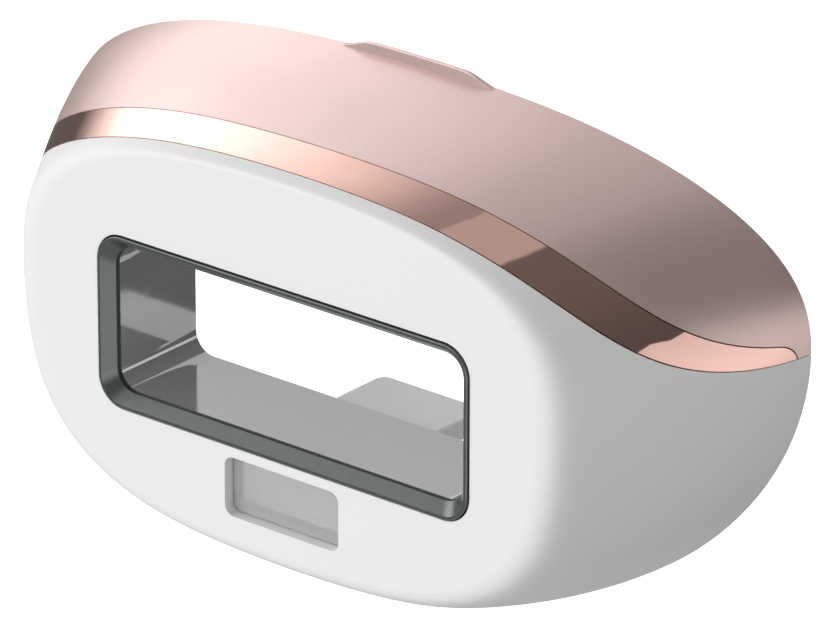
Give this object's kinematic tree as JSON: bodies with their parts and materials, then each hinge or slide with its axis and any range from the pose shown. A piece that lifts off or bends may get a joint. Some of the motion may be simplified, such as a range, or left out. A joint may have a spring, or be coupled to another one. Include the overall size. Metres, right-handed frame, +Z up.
{
  "type": "light hair remover treatment head",
  "caption": "Push-fit treatment head with a sprung metal contact frame around a light window, a skin tone sensor and two hooks behind.",
  "frame": {"origin": "centre of the light window in the plane of the flat front face", "axes": "+X to the right seen from the skin side, +Y from the skin towards the device, +Z up towards the pull ridge"},
  "size_m": [0.0718, 0.0229, 0.0416],
  "materials": {
    "white_shell": "satin gloss",
    "rose_cover": "satin rose metallic lacquer",
    "rose_gold_band": "polished rose gold plating",
    "bead_metal": "satin",
    "carrier_plastic": "fine matt",
    "mirror_lining": "bright polished",
    "spring_steel": "drawn wire",
    "chassis_plastic": "fine matt",
    "seal_rubber": "matt",
    "board_green": "solder mask",
    "switch_plastic": "matt",
    "plunger_plastic": "matt",
    "clear_lens": "clear acrylic",
    "shroud_plastic": "matt",
    "diode_plastic": "moulded epoxy",
    "led_plastic": "moulded epoxy",
    "tongue_plastic": "fine matt",
    "gold_contact": "gold plated",
    "hook_plastic": "matt acetal",
    "pin_steel": "ground",
    "screw_steel": "zinc plated"
  },
  "bodies": {
    "casing": {"front_shell": "white_shell", "trim_band": "rose_gold_band", "top_cover": "rose_cover", "reflector_tunnel": "mirror_lining", "frame_spring_upper_left": "spring_steel", "frame_spring_upper_right": "spring_steel", "frame_spring_lower_left": "spring_steel", "frame_spring_lower_right": "spring_steel", "chassis": "chassis_plastic", "rear_seal": "seal_rubber", "main_board": "board_green", "switch_housings": "switch_plastic", "sensor_lens": "clear_lens", "sensor_shroud": "shroud_plastic", "sensor_photodiode": "diode_plastic", "sensor_leds": "led_plastic", "contact_tongue": "tongue_plastic", "contact_board": "board_green", "contact_pads": "gold_contact", "board_pins": "gold_contact", "hook_pin_left": "pin_steel", "hook_pin_right": "pin_steel", "hook_spring_left": "spring_steel", "hook_spring_right": "spring_steel", "chassis_screws": "screw_steel", "board_screws": "screw_steel"},
    "skin_frame": {"contact_frame": "bead_metal", "frame_carrier": "carrier_plastic"},
    "plunger_left": {"switch_plunger_left": "plunger_plastic"},
    "plunger_right": {"switch_plunger_right": "plunger_plastic"},
    "left_hook": {"hook_left": "hook_plastic"},
    "right_hook": {"hook_right": "hook_plastic"}
  },
  "joints": [
    {"name": "frame_press", "type": "slide", "parent": "casing", "child": "skin_frame", "axis": [0, 1, 0], "range_m": [0, 0.0004], "stiffness_N_per_m": 900, "springref_m": -0.0004, "deforming": ["frame_spring_upper_left", "frame_spring_upper_right", "frame_spring_lower_left", "frame_spring_lower_right"]},
    {"name": "plunger_left_press", "type": "slide", "parent": "casing", "child": "plunger_left", "axis": [0, 1, 0], "range_m": [0, 0.0004]},
    {"name": "plunger_right_press", "type": "slide", "parent": "casing", "child": "plunger_right", "axis": [0, 1, 0], "range_m": [0, 0.0004]},
    {"name": "hook_left_turn", "type": "hinge", "parent": "casing", "child": "left_hook", "pos_m": [-0.0246, 0.0122, 0.002], "axis": [0, 0, 1], "range_deg": [0, 8], "stiffness_Nm_per_rad": 0.06, "springref_deg": -3.44, "deforming": ["hook_spring_left"]},
    {"name": "hook_right_turn", "type": "hinge", "parent": "casing", "child": "right_hook", "pos_m": [0.0246, 0.0122, 0.002], "axis": [0, 0, -1], "range_deg": [0, 8], "stiffness_Nm_per_rad": 0.06, "springref_deg": -3.44, "deforming": ["hook_spring_right"]}
  ],
  "couplings": [
    {"joint": "plunger_left_press", "follows": "frame_press", "ratio": 1},
    {"joint": "plunger_right_press", "follows": "frame_press", "ratio": 1}
  ]
}
